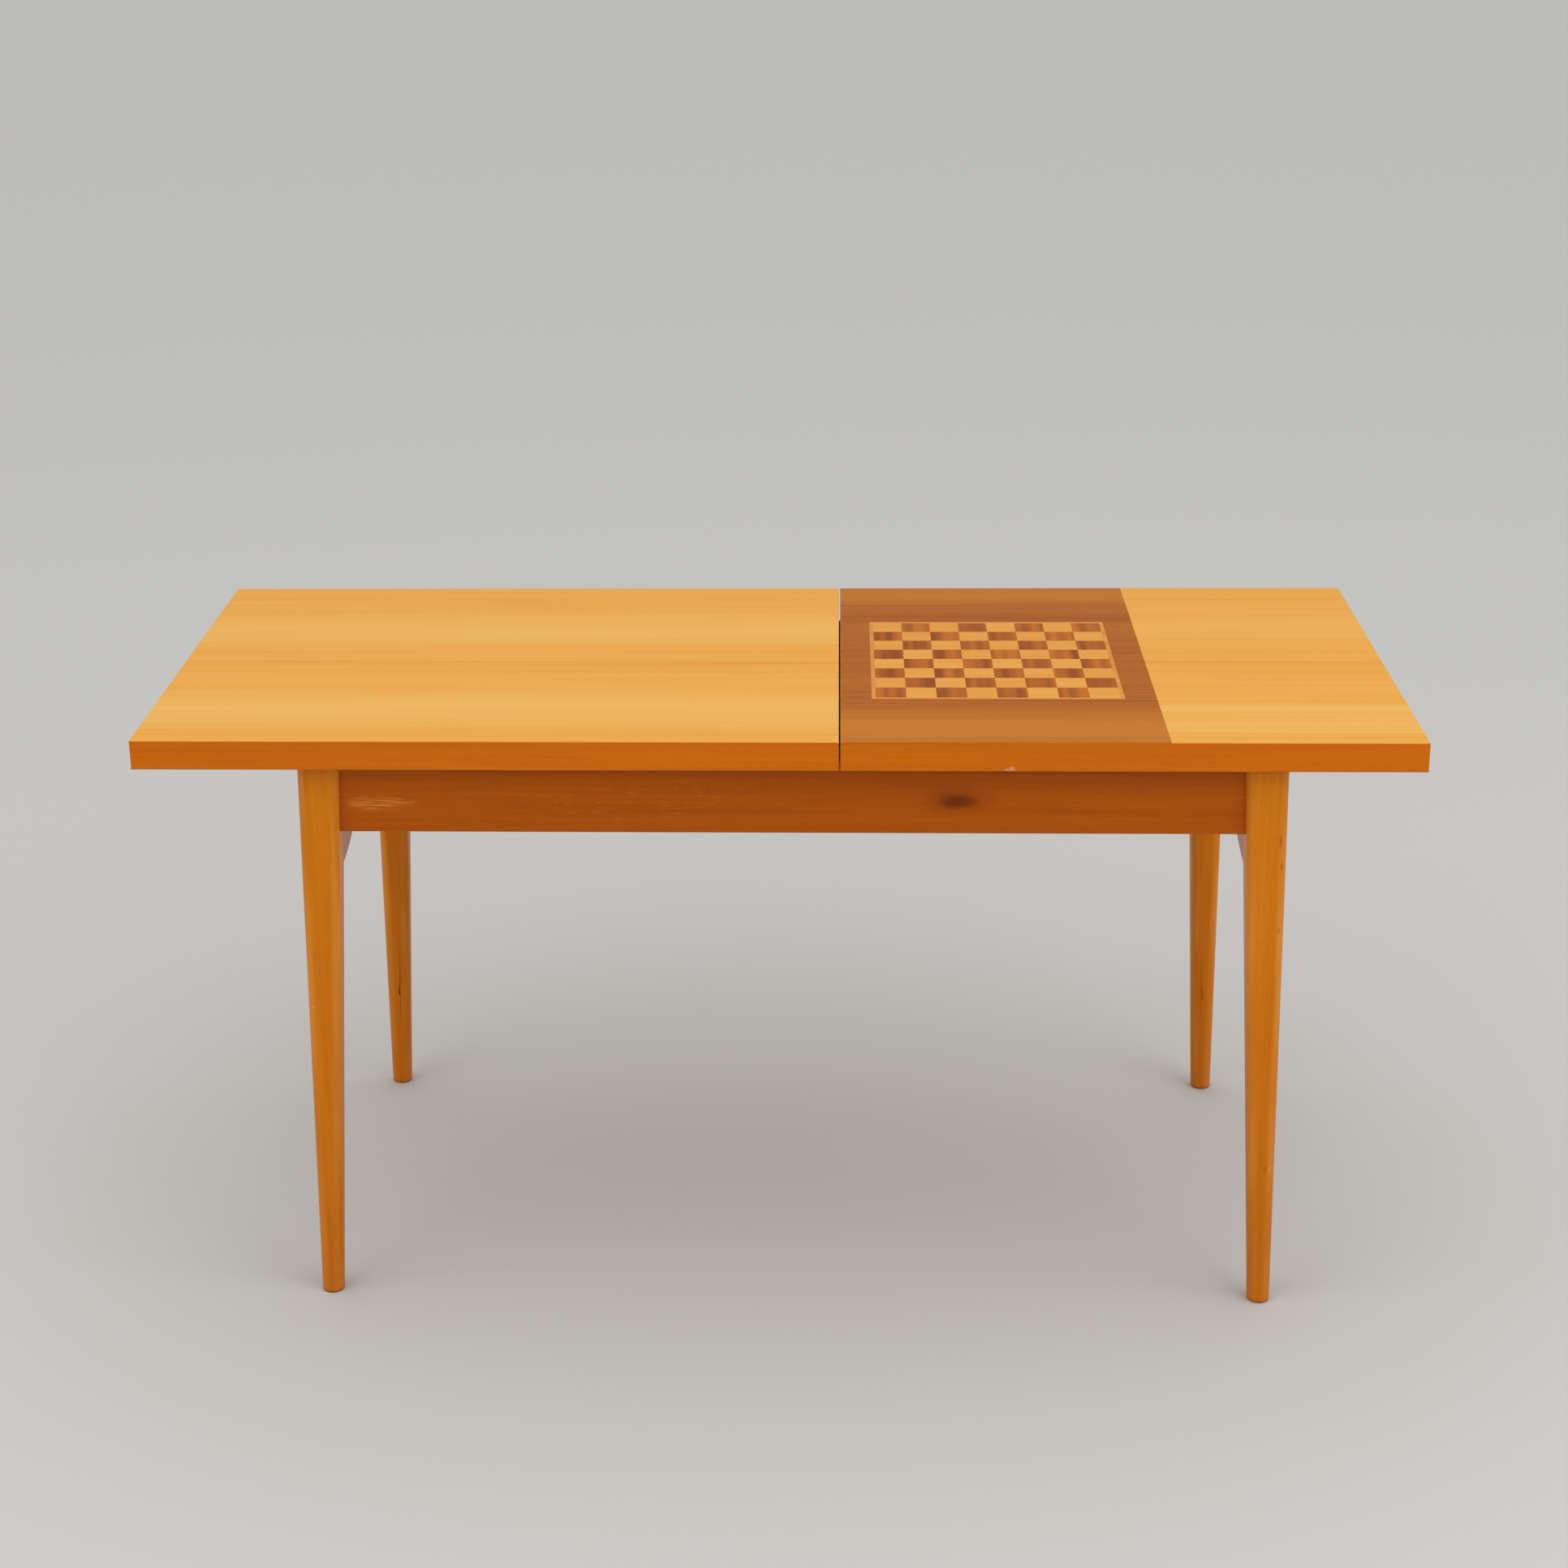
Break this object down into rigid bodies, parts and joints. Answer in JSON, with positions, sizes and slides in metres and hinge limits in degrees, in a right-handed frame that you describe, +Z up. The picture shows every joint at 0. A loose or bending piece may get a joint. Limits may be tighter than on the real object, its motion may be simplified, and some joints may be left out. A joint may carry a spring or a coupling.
{
  "type": "coffee table with inlaid chessboard",
  "caption": "Wooden coffee table with a split top whose leaves slide apart over a tray for game pieces, a chessboard inlaid in one leaf, and tapered, slightly splayed legs.",
  "frame": {"origin": "on the floor under the middle of the closed top", "axes": "+X along the table towards the chessboard end, -Y to the front, +Z up"},
  "size_m": [1.227, 0.496, 0.602],
  "materials": {
    "leg_wood": "satin lacquer, beech stained orange-brown",
    "rail_wood": "satin lacquer, beech stained darker orange-brown",
    "lipping_wood": "gloss lacquer, reddish edge strip",
    "light_veneer": "gloss lacquer, straight-grained blond veneer",
    "dark_veneer": "gloss lacquer, brown veneer",
    "light_inlay": "gloss lacquer, blond inlay",
    "dark_inlay": "gloss lacquer, brown inlay",
    "backing_veneer": "thin matt lacquer",
    "blockboard": "raw",
    "beech": "raw, waxed where it slides",
    "tray_plywood": "thin matt lacquer",
    "screw_steel": "plain steel"
  },
  "bodies": {
    "frame": {"back_apron": "rail_wood", "back_guide_rail": "beech", "corner_block_back_left": "beech", "corner_block_back_right": "beech", "corner_block_front_left": "beech", "corner_block_front_right": "beech", "frame_dowels": "beech", "front_apron": "rail_wood", "front_guide_rail": "beech", "guide_rail_screws": "screw_steel", "left_end_rail": "rail_wood", "leg_back_left": "leg_wood", "leg_back_right": "leg_wood", "leg_front_left": "leg_wood", "leg_front_right": "leg_wood", "right_end_rail": "rail_wood", "tray_bottom": "tray_plywood", "tray_cross_rail_left": "beech", "tray_cross_rail_right": "beech", "tray_dowels": "beech", "tray_ledge_back": "beech", "tray_ledge_front": "beech"},
    "left_leaf": {"left_leaf_core": "blockboard", "left_leaf_lipping_back": "lipping_wood", "left_leaf_lipping_front": "lipping_wood", "left_leaf_lipping_outer": "lipping_wood", "left_leaf_lipping_seam": "lipping_wood", "left_leaf_top_veneer": "light_veneer", "left_leaf_under_veneer": "backing_veneer", "left_runner_back": "beech", "left_runner_front": "beech", "left_runner_screws": "screw_steel"},
    "right_leaf": {"chess_border": "light_inlay", "chess_dark_squares": "dark_inlay", "chess_light_squares": "light_inlay", "right_leaf_core": "blockboard", "right_leaf_dark_veneer": "dark_veneer", "right_leaf_light_veneer": "light_veneer", "right_leaf_lipping_back": "lipping_wood", "right_leaf_lipping_front": "lipping_wood", "right_leaf_lipping_outer": "lipping_wood", "right_leaf_lipping_seam": "lipping_wood", "right_leaf_under_veneer": "backing_veneer", "right_runner_back": "beech", "right_runner_front": "beech", "right_runner_screws": "screw_steel"}
  },
  "joints": [
    {"name": "left_leaf_slide", "type": "slide", "parent": "frame", "child": "left_leaf", "axis": [-1, 0, 0], "range_m": [0, 0.28]},
    {"name": "right_leaf_slide", "type": "slide", "parent": "frame", "child": "right_leaf", "axis": [1, 0, 0], "range_m": [0, 0.18]}
  ]
}
